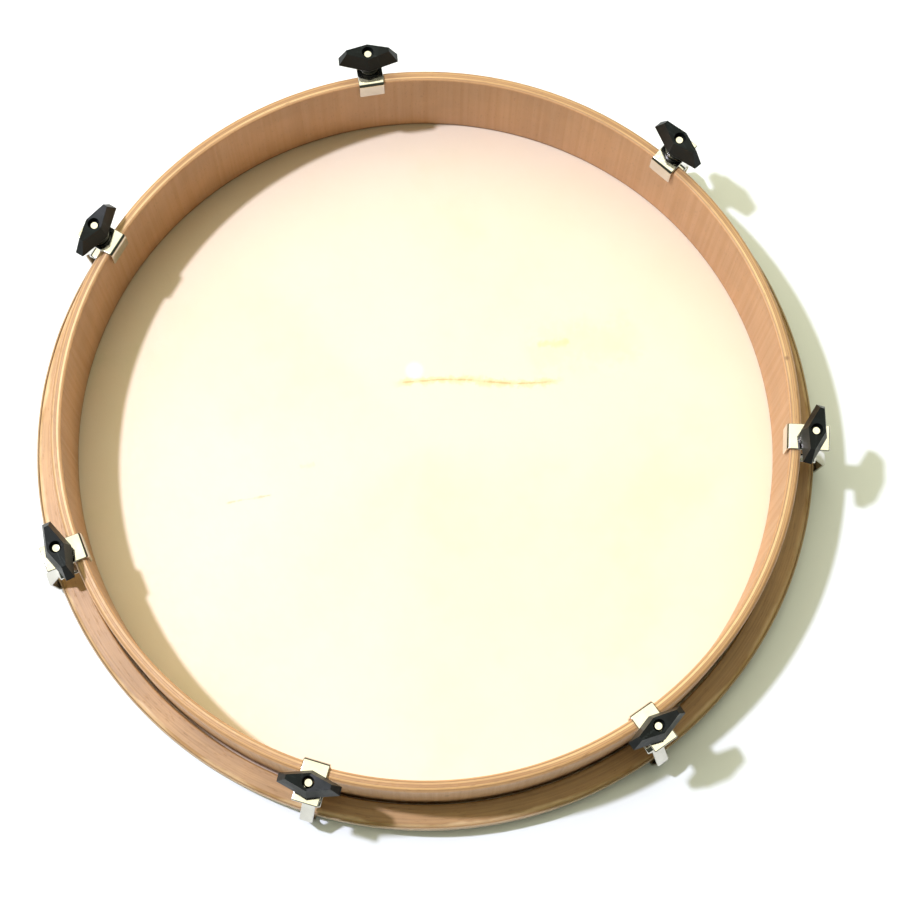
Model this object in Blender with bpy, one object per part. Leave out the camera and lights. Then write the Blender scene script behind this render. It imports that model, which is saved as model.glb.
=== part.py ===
# Tunable hand drum, lying on its skin with the open back up.
# Metres, +Z up. Origin: middle of the skin's underside. The first tuning unit is on +X.
import math

import bmesh
import bpy
from mathutils import Vector

FIT_GAP = 0.0003            # between pieces that seat on or turn in each other

# Shell, a bent plywood ring
SHELL_OUTER_RADIUS = 0.200
SHELL_WALL = 0.0063
SHELL_HEIGHT = 0.0575
RIM_OUTER_ROUND = 0.0025    # open edge, outside corner
RIM_INNER_ROUND = 0.0012
BEARING_OUTER_ROUND = 0.0020
BEARING_INNER_ROUND = 0.0008

# Skin: the flat head, and the margin glued round the hoop
SKIN_THICKNESS = 0.0008
HEAD_OVERHANG = 0.0009      # head past the shell's outer face
MARGIN_PROUD = 0.0004       # trimmed edge above the hoop

# Tension hoop
HOOP_PLAY = 0.0015          # radial play round the shell
HOOP_WIDTH = 0.0119
HOOP_HEIGHT = 0.0090
HOOP_ROUND = 0.0010

# Tuning units
TUNER_COUNT = 7
BOLT_STANDOFF = 0.0050      # bolt axis outside the shell
BOLT_RADIUS = 0.0025
BOLT_HEAD_FLATS = 0.0078
BOLT_HEAD_HEIGHT = 0.0035
BOLT_CHAMFER = 0.0007
BOLT_BELOW_KNOB_TOP = 0.0025

CLIP_SHEET = 0.0015
CLIP_WIDTH = 0.0142
CLIP_REACH = 0.0095         # plate past the bolt axis
CLIP_LIP = 0.0105           # lip below the open edge
CLIP_BEND = 0.0016          # bend radius at mid thickness

CLAW_SHEET = 0.0018
CLAW_WIDTH = 0.0125
CLAW_TAB_WIDTH = 0.0073
CLAW_RISE = 0.0019          # hook above the skin's underside
CLAW_FLANGE_RISE = 0.0185   # flange above the hoop
CLAW_PAST_HEAD = 0.0016     # strap's bend past the bolt's head
CLAW_BULGE = 0.0056         # strap's elbow outside the hoop
CLAW_ELBOW_RISE = 0.0050    # elbow above the hoop's top
CLAW_HOOK_REACH = 0.0060    # hook in under the hoop
CLAW_BEND = 0.0030

WASHER_RADIUS = 0.0060
WASHER_THICKNESS = 0.0010

KNOB_HEIGHT = 0.0135        # at the middle of the top
KNOB_TIP_RISE = 0.0015      # wing tips above the middle of the top
KNOB_LENGTH = 0.0328
KNOB_WIDTH = 0.0143
KNOB_END_WIDTH = 0.0046
KNOB_SHOULDER = 0.0040      # widest outline above the foot
KNOB_TOP_LENGTH = 0.0233
KNOB_TOP_WIDTH = 0.0094
KNOB_TOP_END_WIDTH = 0.0024
KNOB_UNDER_LENGTH = 0.0314  # outline under the wings
KNOB_UNDER_WIDTH = 0.0132
KNOB_UNDER_END_WIDTH = 0.0036
KNOB_NECK_RADIUS = 0.0064
KNOB_NECK_HEIGHT = 0.0024
KNOB_RECESS_CLEARANCE = 0.0007  # recess wider than the bolt all round
KNOB_TURNS = (-11.5, -7.0, -4.5, -1.5, 4.0, 4.0, 0.5)  # degrees, where each was left

BUSH_RADIUS = 0.0041
BUSH_HEIGHT = 0.0080

# Facets
RING_SEGMENTS = 70
BOLT_SIDES = 12
KNOB_SIDES = 24             # the wings' side shares add up to this

# Places that follow from the sizes above
SHELL_BASE_Z = SKIN_THICKNESS + FIT_GAP
RIM_Z = SHELL_BASE_Z + SHELL_HEIGHT
SHELL_INNER_RADIUS = SHELL_OUTER_RADIUS - SHELL_WALL
HOOP_INNER_RADIUS = SHELL_OUTER_RADIUS + HOOP_PLAY
HOOP_OUTER_RADIUS = HOOP_INNER_RADIUS + HOOP_WIDTH
MARGIN_BASE_Z = CLAW_RISE + CLAW_SHEET + FIT_GAP
HOOP_BASE_Z = MARGIN_BASE_Z + SKIN_THICKNESS + FIT_GAP
HOOP_TOP_Z = HOOP_BASE_Z + HOOP_HEIGHT
MARGIN_OUTER_RADIUS = HOOP_OUTER_RADIUS + FIT_GAP + SKIN_THICKNESS
BOLT_CIRCLE = SHELL_OUTER_RADIUS + BOLT_STANDOFF
CLIP_BASE_Z = RIM_Z + FIT_GAP
WASHER_BASE_Z = CLIP_BASE_Z + CLIP_SHEET + FIT_GAP
KNOB_BASE_Z = WASHER_BASE_Z + WASHER_THICKNESS + FIT_GAP
KNOB_TOP_Z = KNOB_BASE_Z + KNOB_HEIGHT
KNOB_RECESS_RADIUS = BOLT_RADIUS + KNOB_RECESS_CLEARANCE
FLANGE_BASE_Z = HOOP_TOP_Z + CLAW_FLANGE_RISE


def clear_radius(radius, sides):
    """Corner radius of a bore whose flats stay FIT_GAP clear of a round piece."""
    return (radius + FIT_GAP) / math.cos(math.pi / sides)


def material(name, colour, roughness, metallic=0.0):
    """A Principled material in one colour."""
    made = bpy.data.materials.new(name)
    made.use_nodes = True
    shader = made.node_tree.nodes["Principled BSDF"]
    shader.inputs["Base Color"].default_value = (*colour, 1.0)
    shader.inputs["Roughness"].default_value = roughness
    shader.inputs["Metallic"].default_value = metallic
    return made


def finished_mesh(name, verts, faces, finish, sharp_angle=35.0):
    """A closed mesh with its faces pointing out and its edges shaded by angle."""
    mesh = bpy.data.meshes.new(name)
    mesh.from_pydata(verts, [], faces)
    work = bmesh.new()
    work.from_mesh(mesh)
    bmesh.ops.recalc_face_normals(work, faces=work.faces)
    work.to_mesh(mesh)
    work.free()
    mesh.shade_smooth()
    mesh.set_sharp_from_angle(angle=math.radians(sharp_angle))
    mesh.materials.append(finish)
    return mesh


def place(name, mesh, parent=None, height=0.0, turn=0.0):
    """An object for a mesh, on its parent's axis at a height and a turn in degrees."""
    made = bpy.data.objects.new(name, mesh)
    bpy.context.collection.objects.link(made)
    made.parent = parent
    made.location.z = height
    made.rotation_euler.z = math.radians(turn)
    return made


def rounded_outline(corners, steps):
    """Corners (x, z, radius) of a closed outline as points, each round an arc."""
    points = []
    for i, (x, z, radius) in enumerate(corners):
        here = Vector((x, z))
        before = (Vector(corners[i - 1][:2]) - here).normalized()
        after = (Vector(corners[(i + 1) % len(corners)][:2]) - here).normalized()
        points += arc_points(here, before, after, radius, steps)
    return points


def arc_points(corner, before, after, radius, steps):
    """Points of the arc that rounds a corner between two unit directions."""
    if radius == 0.0:
        return [corner.copy()]
    half = before.angle(after) / 2
    middle = corner + (before + after).normalized() * (radius / math.sin(half))
    start = corner + before * (radius / math.tan(half)) - middle
    end = corner + after * (radius / math.tan(half)) - middle
    sweep = start.angle_signed(end)
    turns = [-sweep * k / steps for k in range(steps + 1)]
    return [
        middle + Vector((start.x * math.cos(t) - start.y * math.sin(t),
                         start.x * math.sin(t) + start.y * math.cos(t)))
        for t in turns
    ]


def turned_mesh(name, outline, finish, sides=RING_SEGMENTS, phase=0.0):
    """A closed outline of (radius, z) points carried round the Z axis."""
    count = len(outline)
    angles = [math.tau * (k + phase) / sides for k in range(sides)]
    verts = [(r * math.cos(a), r * math.sin(a), z) for a in angles for r, z in outline]
    faces = [
        (k * count + i, k * count + (i + 1) % count,
         (k + 1) % sides * count + (i + 1) % count, (k + 1) % sides * count + i)
        for k in range(sides) for i in range(count)
    ]
    return finished_mesh(name, verts, faces, finish)


def stacked_mesh(name, rows, finish, closed=False):
    """Rows of points joined in order; closed joins the last to the first, else both end flat."""
    count = len(rows[0])
    verts = [point for row in rows for point in row]
    joins = len(rows) if closed else len(rows) - 1
    faces = [
        (k * count + i, k * count + (i + 1) % count,
         (k + 1) % len(rows) * count + (i + 1) % count, (k + 1) % len(rows) * count + i)
        for k in range(joins) for i in range(count)
    ]
    if not closed:
        faces += [tuple(range(count)), tuple(range(len(verts) - count, len(verts)))]
    return finished_mesh(name, verts, faces, finish)


def circle_row(radius, z, sides, phase=0.0):
    """Points round a circle."""
    angles = [math.tau * (k + phase) / sides for k in range(sides)]
    return [(radius * math.cos(a), radius * math.sin(a), z) for a in angles]


def strip_mesh(name, stops, sheet, finish):
    """A bent sheet strip: stops are (x, z, bend radius, half width) along its mid line."""
    line = strip_stations(stops)
    rows = []
    for i, (x, z, half_width) in enumerate(line):
        here = Vector((x, z))
        back = (here - Vector(line[i - 1][:2])).normalized() if i else None
        ahead = (Vector(line[i + 1][:2]) - here).normalized() if i + 1 < len(line) else None
        along = ((back or ahead) + (ahead or back)).normalized()
        spread = sheet / 2 / along.dot(ahead or back)
        side = Vector((-along.y, along.x)) * spread
        rows.append([
            (x + side.x, half_width, z + side.y), (x - side.x, half_width, z - side.y),
            (x - side.x, -half_width, z - side.y), (x + side.x, -half_width, z + side.y),
        ])
    return stacked_mesh(name, rows, finish)


def strip_stations(stops, steps=3):
    """The stops with each bend drawn as an arc."""
    line = []
    for i, (x, z, bend, half_width) in enumerate(stops):
        here = Vector((x, z))
        if bend == 0.0:
            line.append((x, z, half_width))
            continue
        before = (Vector(stops[i - 1][:2]) - here).normalized()
        after = (Vector(stops[i + 1][:2]) - here).normalized()
        arc = arc_points(here, before, after, bend, steps)
        line += [(p.x, p.y, half_width) for p in arc]
    return line


def drilled_mesh(mesh, radius):
    """The mesh with a round hole through it on the Z axis."""
    top = max(v.co.z for v in mesh.vertices) + radius
    base = min(v.co.z for v in mesh.vertices) - radius
    rows = [circle_row(radius, z, BOLT_SIDES, 0.5) for z in (base, top)]
    cutter = place("drill", stacked_mesh("drill", rows, mesh.materials[0]))
    cutter.hide_render = True
    cutter.display_type = "WIRE"
    blank = place("blank", mesh)
    cut = blank.modifiers.new("hole", "BOOLEAN")
    cut.operation = "DIFFERENCE"
    cut.solver = "EXACT"
    cut.object = cutter
    graph = bpy.context.evaluated_depsgraph_get()
    made = bpy.data.meshes.new_from_object(blank.evaluated_get(graph))
    made.name = mesh.name
    bpy.data.objects.remove(blank)
    bpy.data.objects.remove(cutter)
    return made


def shell(finish):
    """The plywood ring, its open edge rounded and its bearing edge on the skin."""
    outline = rounded_outline([
        (SHELL_INNER_RADIUS, SHELL_BASE_Z, BEARING_INNER_ROUND),
        (SHELL_OUTER_RADIUS, SHELL_BASE_Z, BEARING_OUTER_ROUND),
        (SHELL_OUTER_RADIUS, RIM_Z, RIM_OUTER_ROUND),
        (SHELL_INNER_RADIUS, RIM_Z, RIM_INNER_ROUND),
    ], steps=2)
    place("shell", turned_mesh("shell", outline, finish))


def drumhead(finish):
    """The flat of the skin, which the shell stands on."""
    radius = SHELL_OUTER_RADIUS + HEAD_OVERHANG
    rows = [circle_row(radius, z, RING_SEGMENTS) for z in (0.0, SKIN_THICKNESS)]
    place("drumhead", stacked_mesh("drumhead", rows, finish))


def tension_hoop(finish):
    """The wooden hoop that draws the skin up round the shell."""
    outline = rounded_outline([
        (HOOP_INNER_RADIUS, HOOP_BASE_Z, HOOP_ROUND),
        (HOOP_OUTER_RADIUS, HOOP_BASE_Z, HOOP_ROUND),
        (HOOP_OUTER_RADIUS, HOOP_TOP_Z, HOOP_ROUND),
        (HOOP_INNER_RADIUS, HOOP_TOP_Z, HOOP_ROUND),
    ], steps=1)
    place("tension_hoop", turned_mesh("tension_hoop", outline, finish))


def drumhead_margin(finish):
    """The margin of the skin, under the hoop and up its outer face."""
    wall = MARGIN_OUTER_RADIUS - SKIN_THICKNESS
    floor = MARGIN_BASE_Z + SKIN_THICKNESS
    top = HOOP_TOP_Z + MARGIN_PROUD
    start = HOOP_INNER_RADIUS + HOOP_ROUND
    inner_round = HOOP_ROUND + FIT_GAP
    outline = rounded_outline([
        (start, MARGIN_BASE_Z, 0.0),
        (MARGIN_OUTER_RADIUS, MARGIN_BASE_Z, inner_round + SKIN_THICKNESS),
        (MARGIN_OUTER_RADIUS, top, 0.0),
        (wall, top, 0.0),
        (wall, floor, inner_round),
        (start, floor, 0.0),
    ], steps=2)
    place("drumhead_margin", turned_mesh("drumhead_margin", outline, finish))


def clip_mesh(finish):
    """Sheet clip: a lip inside the shell, and a plate over the edge and round the bolt."""
    half = CLIP_WIDTH / 2
    middle = CLIP_SHEET / 2
    clear = SHELL_INNER_RADIUS * math.cos(math.pi / RING_SEGMENTS) - FIT_GAP
    lip = math.sqrt(clear ** 2 - half ** 2) - middle - BOLT_CIRCLE
    stops = [
        (lip, -FIT_GAP - CLIP_LIP, 0.0, half),
        (lip, middle, CLIP_BEND, half),
        (CLIP_REACH, middle, 0.0, half),
    ]
    mesh = strip_mesh("shell_clip", stops, CLIP_SHEET, finish)
    return drilled_mesh(mesh, clear_radius(BOLT_RADIUS, BOLT_SIDES))


def claw_mesh(finish):
    """Sheet claw: a flange round the bolt, a strap outside the hoop, a hook under it."""
    wide, narrow = CLAW_WIDTH / 2, CLAW_TAB_WIDTH / 2
    hoop_outer = HOOP_OUTER_RADIUS - BOLT_CIRCLE
    middle = CLAW_SHEET / 2
    elbow = hoop_outer + CLAW_BULGE
    elbow_z = HOOP_TOP_Z + CLAW_ELBOW_RISE - FLANGE_BASE_Z
    foot = MARGIN_OUTER_RADIUS - BOLT_CIRCLE + CLAW_BEND - middle
    foot_z = CLAW_RISE + middle - FLANGE_BASE_Z
    flange_inner = -BOLT_STANDOFF + 2 * FIT_GAP
    flange_outer = BOLT_HEAD_FLATS / 2 + CLAW_PAST_HEAD
    stops = [
        (flange_inner, middle, 0.0, wide),
        (flange_outer - CLAW_BEND, middle, 0.0, wide),
        (flange_outer, middle, CLAW_BEND, narrow),
        (elbow, elbow_z, CLAW_BEND, narrow),
        (foot, foot_z, CLAW_BEND, narrow),
        (hoop_outer - CLAW_HOOK_REACH, foot_z, 0.0, narrow),
    ]
    mesh = strip_mesh("hoop_claw", stops, CLAW_SHEET, finish)
    return drilled_mesh(mesh, clear_radius(BOLT_RADIUS, BOLT_SIDES))


def bolt_mesh(finish):
    """Bolt with a hex head under the claw's flange and its end in the knob's recess."""
    head_top = -FIT_GAP
    head_base = head_top - BOLT_HEAD_HEIGHT
    head_corner = BOLT_HEAD_FLATS / 2 / math.cos(math.pi / 6)
    tip = KNOB_TOP_Z - BOLT_BELOW_KNOB_TOP - FLANGE_BASE_Z
    rows = [
        hex_row(head_corner, head_base), hex_row(head_corner, head_top),
        circle_row(BOLT_RADIUS, head_top, BOLT_SIDES),
        circle_row(BOLT_RADIUS, tip - BOLT_CHAMFER, BOLT_SIDES),
        circle_row(BOLT_RADIUS - BOLT_CHAMFER, tip, BOLT_SIDES),
    ]
    return stacked_mesh("tension_bolt", rows, finish)


def hex_row(corner_radius, z):
    """A hexagon drawn with as many points as the bolt has sides, a flat towards the shell."""
    points = []
    for k in range(6):
        a, b = (math.tau * (k + j - 0.5) / 6 for j in (0, 1))
        first = Vector((math.cos(a), math.sin(a))) * corner_radius
        second = Vector((math.cos(b), math.sin(b))) * corner_radius
        points += [first, (first + second) / 2]
    shift = 1                        # starts the row at the flat on +X, as the circles do
    points = points[shift:] + points[:shift]
    return [(p.x, p.y, z) for p in points]


def sleeve_mesh(name, outer, height, finish, sides=BOLT_SIDES):
    """A plain sleeve or washer that clears the bolt."""
    bore = clear_radius(BOLT_RADIUS, sides)
    outline = [(bore, 0.0), (outer, 0.0), (outer, height), (bore, height)]
    return turned_mesh(name, outline, finish, sides)


def wing_row(length, width, end_width, middle_z, end_z):
    """Outline of the wings: blunt ends, straight sides, widest at the middle."""
    half, side, tip = length / 2, width / 2, end_width / 2
    corners = [(tip, half, end_z), (-tip, half, end_z), (-side, 0.0, middle_z),
               (-tip, -half, end_z), (tip, -half, end_z), (side, 0.0, middle_z)]
    shares = [2, 5, 5, 2, 5, 5]      # points per side, KNOB_SIDES in all
    points = []
    for i, (corner, share) in enumerate(zip(corners, shares)):
        start, end = Vector(corner), Vector(corners[(i + 1) % len(corners)])
        points += [tuple(start.lerp(end, k / share)) for k in range(share)]
    return points


def matched_circle(radius, z, guide):
    """A circle whose points lie on the same bearings as a row of points."""
    bearings = [math.atan2(y, x) for x, y, _ in guide]
    return [(radius * math.cos(a), radius * math.sin(a), z) for a in bearings]


def knob_mesh(finish):
    """Wing knob: a V-shaped top with a recess for the bolt's end, wings, and a round neck."""
    bush_bore = clear_radius(BUSH_RADIUS, KNOB_SIDES // 2)
    bush_top = BUSH_HEIGHT + 2 * FIT_GAP
    shoulder = wing_row(KNOB_LENGTH, KNOB_WIDTH, KNOB_END_WIDTH, KNOB_SHOULDER, KNOB_SHOULDER)
    under = wing_row(KNOB_UNDER_LENGTH, KNOB_UNDER_WIDTH, KNOB_UNDER_END_WIDTH,
                     KNOB_NECK_HEIGHT, KNOB_NECK_HEIGHT)
    top = wing_row(KNOB_TOP_LENGTH, KNOB_TOP_WIDTH, KNOB_TOP_END_WIDTH,
                   KNOB_HEIGHT, KNOB_HEIGHT + KNOB_TIP_RISE)
    recess_rise = KNOB_TIP_RISE * KNOB_RECESS_RADIUS / KNOB_TOP_LENGTH
    rows = [
        matched_circle(bush_bore, 0.0, shoulder),
        matched_circle(KNOB_NECK_RADIUS, 0.0, shoulder),
        matched_circle(KNOB_NECK_RADIUS, KNOB_NECK_HEIGHT, shoulder),
        under, shoulder, top,
        matched_circle(KNOB_RECESS_RADIUS, KNOB_HEIGHT + recess_rise, shoulder),
        matched_circle(KNOB_RECESS_RADIUS, bush_top, shoulder),
        matched_circle(bush_bore, bush_top, shoulder),
    ]
    return stacked_mesh("wing_knob", rows, finish, closed=True)


def tuning_units(steel, plastic, brass):
    """Seven units spaced evenly, each on an empty that stands on its bolt's axis."""
    clip = clip_mesh(steel)
    claw = claw_mesh(steel)
    bolt = bolt_mesh(steel)
    washer = sleeve_mesh("knob_washer", WASHER_RADIUS, WASHER_THICKNESS, steel)
    bush = sleeve_mesh("knob_bush", BUSH_RADIUS, BUSH_HEIGHT, brass)
    knob = knob_mesh(plastic)
    for unit in range(TUNER_COUNT):
        bearing = math.tau * unit / TUNER_COUNT
        axis = bpy.data.objects.new(f"tuner_axis_{unit + 1}", None)
        bpy.context.collection.objects.link(axis)
        axis.location = (BOLT_CIRCLE * math.cos(bearing), BOLT_CIRCLE * math.sin(bearing), 0.0)
        axis.rotation_euler.z = bearing
        number = unit + 1
        place(f"shell_clip_{number}", clip, axis, CLIP_BASE_Z)
        place(f"hoop_claw_{number}", claw, axis, FLANGE_BASE_Z)
        place(f"tension_bolt_{number}", bolt, axis, FLANGE_BASE_Z)
        place(f"knob_washer_{number}", washer, axis, WASHER_BASE_Z)
        place(f"wing_knob_{number}", knob, axis, KNOB_BASE_Z, KNOB_TURNS[unit])
        place(f"knob_bush_{number}", bush, axis, KNOB_BASE_Z + FIT_GAP, KNOB_TURNS[unit])


def main():
    """The whole drum."""
    for old in list(bpy.data.objects):
        bpy.data.objects.remove(old)
    beech = material("oiled_beech_ply", (0.52, 0.30, 0.14), 0.45)
    hoop_wood = material("beech_hoop", (0.50, 0.31, 0.16), 0.5)
    skin = material("natural_skin", (0.93, 0.87, 0.66), 0.6)
    steel = material("nickel_plated_steel", (0.80, 0.79, 0.76), 0.12, 1.0)
    plastic = material("black_moulded_plastic", (0.025, 0.028, 0.028), 0.4)
    brass = material("brass_bush", (0.72, 0.56, 0.28), 0.3, 1.0)
    shell(beech)
    drumhead(skin)
    tension_hoop(hoop_wood)
    drumhead_margin(skin)
    tuning_units(steel, plastic, brass)


main()
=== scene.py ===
import math

import bmesh
import bpy
import numpy as np
from mathutils import Matrix, Vector


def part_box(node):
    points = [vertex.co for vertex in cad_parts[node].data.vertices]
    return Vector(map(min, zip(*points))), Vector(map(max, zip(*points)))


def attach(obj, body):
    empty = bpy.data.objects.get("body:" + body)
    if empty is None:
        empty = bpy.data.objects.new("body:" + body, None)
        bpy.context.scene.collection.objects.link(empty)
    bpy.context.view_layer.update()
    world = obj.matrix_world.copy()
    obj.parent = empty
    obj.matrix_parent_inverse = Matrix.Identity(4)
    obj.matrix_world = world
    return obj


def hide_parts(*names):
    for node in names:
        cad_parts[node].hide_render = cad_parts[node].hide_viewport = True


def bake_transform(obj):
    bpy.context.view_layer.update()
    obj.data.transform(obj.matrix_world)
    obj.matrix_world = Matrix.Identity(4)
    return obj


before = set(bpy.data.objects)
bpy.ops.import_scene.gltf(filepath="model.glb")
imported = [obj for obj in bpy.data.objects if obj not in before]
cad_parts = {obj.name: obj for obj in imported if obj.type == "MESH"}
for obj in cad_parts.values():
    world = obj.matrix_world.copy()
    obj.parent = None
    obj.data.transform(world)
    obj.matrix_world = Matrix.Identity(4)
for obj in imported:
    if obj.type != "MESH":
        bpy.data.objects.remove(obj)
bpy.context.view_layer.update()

fitGap = 0.0003          # what the frame leaves between pieces that touch
unitCount = sum(name.startswith("wing_knob_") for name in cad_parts)


def unit(vectors):
    # Each vector divided by its own length.
    return vectors / np.maximum(np.linalg.norm(vectors, axis=-1, keepdims=True), 1e-12)


def arcsAt(corners, before, after, steps, support):
    # Each corner (x, z, radius) becomes the arc that touches both of its sides, swept evenly
    # from side to side, with one more point just before it and one just after it.
    point, radius = corners[:, :2], corners[:, 2:3]
    half = np.arccos(np.clip((before * after).sum(1, keepdims=True), -1, 1)) / 2
    middle = point + unit(before + after) * radius / np.sin(half)
    start, end = (point + side * radius / np.tan(half) for side in (before, after))
    sweep = math.pi - 2 * half[:, None]
    share = np.linspace(0, 1, steps + 1)[None, :, None]
    arm = np.sin((1 - share) * sweep) * (start - middle)[:, None]
    arm = (arm + np.sin(share * sweep) * (end - middle)[:, None]) / np.sin(sweep)
    arc = middle[:, None] + arm
    lead, tail = (start + before * support)[:, None], (end + after * support)[:, None]
    return np.concatenate([lead, arc, tail], axis=1).reshape(-1, 2)


def closedOutline(corners, steps=6, support=0.00015):
    # A closed outline with rounded corners.
    corners = np.array(corners, float)
    before = unit(np.roll(corners, 1, 0)[:, :2] - corners[:, :2])
    after = unit(np.roll(corners, -1, 0)[:, :2] - corners[:, :2])
    return arcsAt(corners, before, after, steps, support)


def openLine(corners, steps=8, support=0.00015):
    # A line from the first corner to the last, rounded at the corners between.
    corners = np.array(corners, float)
    inner = corners[1:-1]
    before = unit(corners[:-2, :2] - inner[:, :2])
    after = unit(corners[2:, :2] - inner[:, :2])
    return np.concatenate([corners[:1, :2], arcsAt(inner, before, after, steps, support),
                           corners[-1:, :2]])


def spacedAlong(line, spacing):
    # The line's own points, with more between them wherever two are further apart than spacing.
    gap = np.linalg.norm(np.diff(line, axis=0), axis=1)
    runs = [np.linspace(a, b, max(1, math.ceil(g / spacing)), endpoint=False)
            for a, b, g in zip(line[:-1], line[1:], gap)]
    return np.concatenate(runs + [line[-1:]])


def turned(outline, columns=480):
    # An outline of (radius, height) carried round the Z axis: (r cos a, r sin a, z).
    angle = np.linspace(0, math.tau, columns, endpoint=False)[:, None]
    radius, height = outline[None, :, 0], outline[None, :, 1]
    return np.stack([radius * np.cos(angle), radius * np.sin(angle), height + 0 * angle], -1)


def placedAtUnit(points, number, spin=0.0):
    # Points made on a bolt's axis, spun about it, moved out to the bolt circle and turned to
    # the unit's bearing: p' = turn(bearing) (turn(spin) p + radius along X).
    bearing, radius = unitAxis(number)
    move = (Matrix.Rotation(bearing, 3, "Z"), Matrix.Rotation(spin, 3, "Z"))
    outer, inner = (np.array(m) for m in move)
    return (points @ inner.T + np.array([radius, 0, 0])) @ outer.T


def unitAxis(number):
    # Bearing and radius of a tuning unit's bolt, from the middle of its box.
    low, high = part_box(f"tension_bolt_{number}")
    middle = (low + high) / 2
    return math.atan2(middle.y, middle.x), math.hypot(middle.x, middle.y)


def gridMesh(name, points, closedRows=True, closedColumns=True, capped=False, sharp=None):
    # A grid of points [row, column] joined by quads, wrapping round where it is closed. Points
    # that coincide are merged, so a row drawn at one point becomes a pole, and all faces are
    # turned outwards.
    rows, columns = points.shape[:2]
    row, column = np.meshgrid(np.arange(rows if closedRows else rows - 1),
                              np.arange(columns if closedColumns else columns - 1), indexing="ij")
    nextRow, nextColumn = (row + 1) % rows, (column + 1) % columns
    quads = np.stack([row * columns + column, row * columns + nextColumn,
                      nextRow * columns + nextColumn, nextRow * columns + column], -1)
    faces = quads.reshape(-1, 4).tolist()
    if capped:
        last = (rows - 1) * columns
        faces += [list(range(columns)), list(range(last, last + columns))]
    mesh = bpy.data.meshes.new(name)
    mesh.from_pydata(points.reshape(-1, 3).tolist(), [], faces)
    work = bmesh.new()
    work.from_mesh(mesh)
    bmesh.ops.remove_doubles(work, verts=work.verts, dist=1e-6)
    bmesh.ops.recalc_face_normals(work, faces=work.faces)
    work.to_mesh(mesh)
    work.free()
    mesh.shade_smooth()
    if sharp:
        mesh.set_sharp_from_angle(angle=math.radians(sharp))
    return mesh


def drilled(mesh, holeRadius, number, low, high):
    # The mesh less a round bar on a unit's axis from low to high: the bar is a circle of
    # holeRadius drawn at both heights.
    angle = np.linspace(0, math.tau, 48, endpoint=False)
    ring = np.stack([holeRadius * np.cos(angle), holeRadius * np.sin(angle)], -1)
    bar = np.stack([np.column_stack([ring, np.full(48, z)]) for z in (low, high)])
    cutter = bpy.data.objects.new("bar", gridMesh("bar", placedAtUnit(bar, number), False, capped=True))
    blank = bpy.data.objects.new("blank", mesh)
    for made in (cutter, blank):
        bpy.context.scene.collection.objects.link(made)
    cut = blank.modifiers.new("hole", "BOOLEAN")
    cut.operation, cut.solver, cut.object = "DIFFERENCE", "EXACT", cutter
    graph = bpy.context.evaluated_depsgraph_get()
    result = bpy.data.meshes.new_from_object(blank.evaluated_get(graph))
    result.name = mesh.name
    for made in (cutter, blank):
        bpy.data.objects.remove(made)
    result.shade_smooth()
    result.set_sharp_from_angle(angle=math.radians(40))
    return result


def addPiece(name, mesh, finish, nodes, body=None):
    # An object at the origin for a finished mesh, in its material, standing for CAD nodes.
    mesh.materials.clear()
    mesh.materials.append(finish)
    piece = bpy.data.objects.new(name, mesh)
    bpy.context.scene.collection.objects.link(piece)
    if body:
        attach(piece, body)
    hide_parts(*nodes)
    return piece


def fillInputs(tree, made, inputs):
    # Links a socket, or sets a plain value.
    for key, value in inputs.items():
        if isinstance(value, bpy.types.NodeSocket):
            tree.links.new(value, made.inputs[key])
        else:
            made.inputs[key].default_value = value


def addNode(tree, kind, inputs=None, **settings):
    made = tree.nodes.new(kind)
    for key, value in settings.items():
        setattr(made, key, value)
    fillInputs(tree, made, inputs or {})
    return made


def calc(tree, operation, first, second=0.0, third=0.0):
    made = addNode(tree, "ShaderNodeMath", {0: first, 1: second, 2: third}, operation=operation)
    return made.outputs[0]


def blendColours(tree, share, first, second, way="MIX"):
    # Sockets 6 and 7 are a Mix node's two colours, and output 2 is its colour.
    made = addNode(tree, "ShaderNodeMix", {0: share, 6: first, 7: second}, data_type="RGBA",
                   blend_type=way)
    return made.outputs[2]


def shaded(tree, colour, amount):
    # A colour made lighter or darker by an amount.
    grey = addNode(tree, "ShaderNodeCombineColor", {0: amount, 1: amount, 2: amount}).outputs[0]
    return blendColours(tree, 1.0, colour, grey, "MULTIPLY")


def fade(tree, value, low, high, toLow=0.0, toHigh=1.0):
    # Maps low..high smoothly to toLow..toHigh.
    inputs = {"Value": value, "From Min": low, "From Max": high, "To Min": toLow, "To Max": toHigh}
    made = addNode(tree, "ShaderNodeMapRange", inputs, interpolation_type="SMOOTHSTEP")
    return made.outputs["Result"]


def noise(tree, vector, scale, detail=3.0, rough=0.5, w=None):
    inputs = {"Vector": vector, "Scale": scale, "Detail": detail, "Roughness": rough}
    if w is not None:
        inputs["W"] = w
    made = addNode(tree, "ShaderNodeTexNoise", inputs, noise_dimensions="3D" if w is None else "4D")
    return made.outputs["Fac"]


def spot(tree, vector, place, whole, gone, share):
    # A round mark: share within whole of its place, fading to nothing at gone.
    away = addNode(tree, "ShaderNodeVectorMath", {0: vector, 1: place}, operation="DISTANCE")
    return fade(tree, away.outputs["Value"], whole, gone, share, 0.0)


def newGroup(name, inputs, outputs):
    # An empty node group with named sockets, and its two end nodes.
    tree = bpy.data.node_groups.new(name, "ShaderNodeTree")
    for socket, kind, value in inputs:
        made = tree.interface.new_socket(socket, in_out="INPUT", socket_type=kind)
        if value is not None:
            made.default_value = value
    for socket, kind in outputs:
        tree.interface.new_socket(socket, in_out="OUTPUT", socket_type=kind)
    return tree, tree.nodes.new("NodeGroupInput").outputs, tree.nodes.new("NodeGroupOutput").inputs


def useGroup(tree, group, inputs):
    return addNode(tree, "ShaderNodeGroup", inputs, node_tree=group).outputs


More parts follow.
